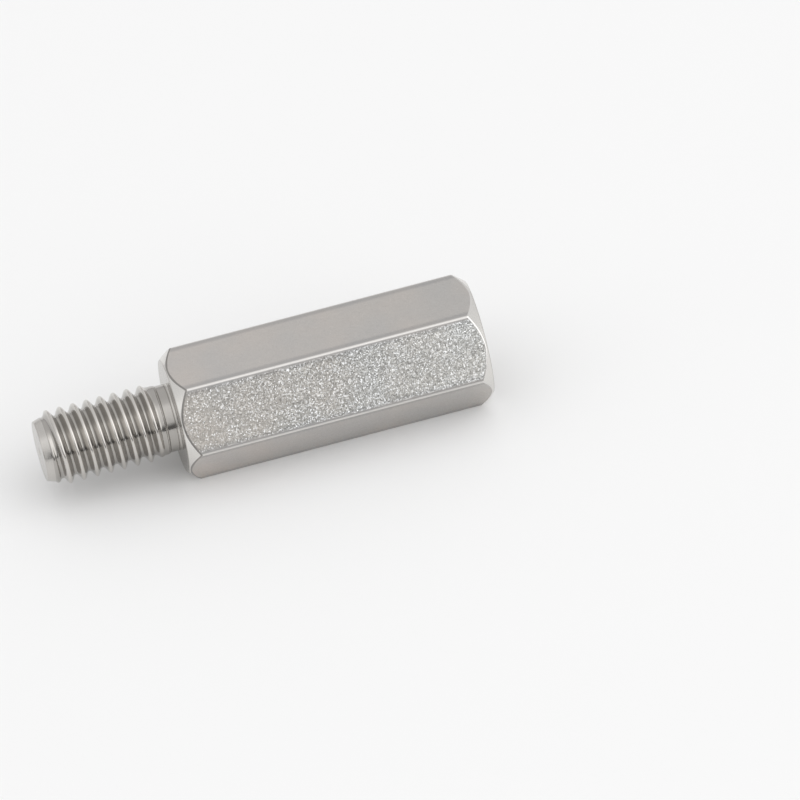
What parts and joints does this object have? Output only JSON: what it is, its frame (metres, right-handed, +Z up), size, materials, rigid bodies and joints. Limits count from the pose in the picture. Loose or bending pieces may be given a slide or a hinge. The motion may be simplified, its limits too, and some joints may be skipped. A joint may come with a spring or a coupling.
{
  "type": "hex standoff",
  "caption": "Hexagonal steel standoff, lying on a flat: a threaded stud, a plain neck, and a bevelled hex body with a countersunk tapped blind hole.",
  "frame": {"origin": "on the resting surface, under the middle of the part's whole length", "axes": "+X along the part's axis, from the stud's tip towards the open end of the tapped hole; +Z up, square to the flat that the part lies on; +Y across"},
  "size_m": [0.023, 0.0068, 0.006],
  "materials": {
    "steel": "bare stainless: satin drawn flats with a fine grain, brighter turned bevels, end faces and countersink, bright rolled stud thread and darker tapped thread"
  },
  "bodies": {
    "root": {"standoff": "steel"}
  },
  "joints": []
}
